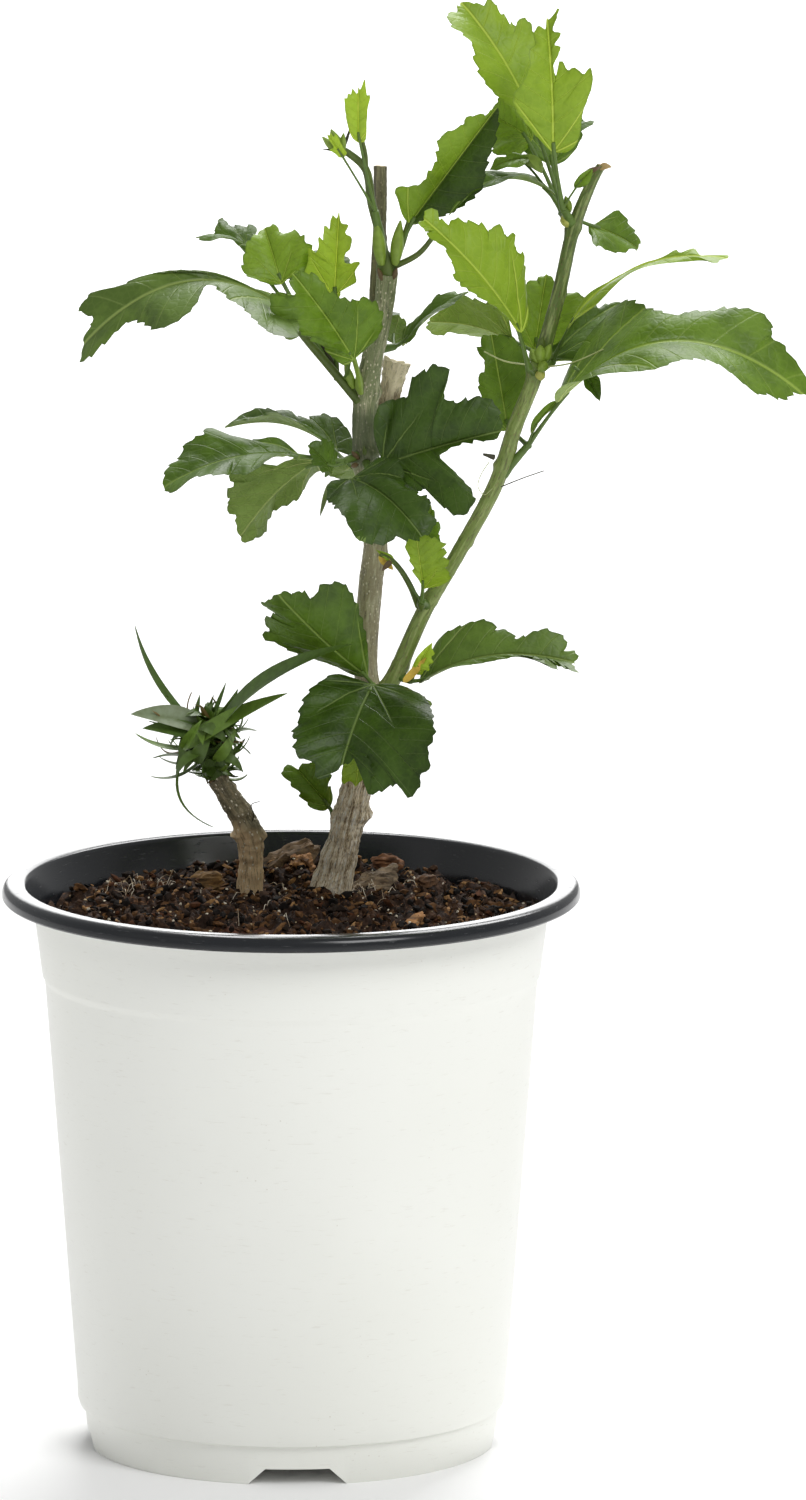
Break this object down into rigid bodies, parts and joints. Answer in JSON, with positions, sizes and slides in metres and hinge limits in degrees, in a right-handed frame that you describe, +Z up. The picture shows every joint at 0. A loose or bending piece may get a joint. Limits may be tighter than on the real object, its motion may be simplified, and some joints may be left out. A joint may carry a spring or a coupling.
{
  "type": "potted rose of sharon shrub",
  "caption": "Young rose of sharon with forked woody stems and lobed, toothed leaves, in a tapered round white nursery pot that stands on its flat foot.",
  "frame": {"origin": "middle of the pot's flat underside, on the pot's axis", "axes": "+Z up along the pot's axis to the plant's top, -Y the front, +X to the right seen from the front"},
  "size_m": [0.1655, 0.12, 0.303],
  "materials": {
    "pot_shell": "satin",
    "potting_mix": "matte",
    "bark": "matte",
    "green_stem": "satin",
    "foliage": "satin"
  },
  "bodies": {
    "root": {"pot": "pot_shell", "potting_mix": "potting_mix", "trunk": "bark", "middle_stem": "green_stem", "right_stem": "green_stem", "middle_stub": "bark", "top_stub": "bark", "small_stem": "green_stem", "low_shoot": "foliage", "fork_front": "foliage", "fork_rear": "foliage", "fork_right": "foliage", "mid_left": "foliage", "mid_front": "foliage", "mid_rear": "foliage", "upper_left": "foliage", "inner_right": "foliage", "inner_rear": "foliage", "top_left": "foliage", "low_right": "foliage", "mid_right_front": "foliage", "mid_right_back": "foliage", "low_side": "foliage", "top_right": "foliage", "top_rear": "foliage", "tuft": "foliage"}
  },
  "joints": []
}
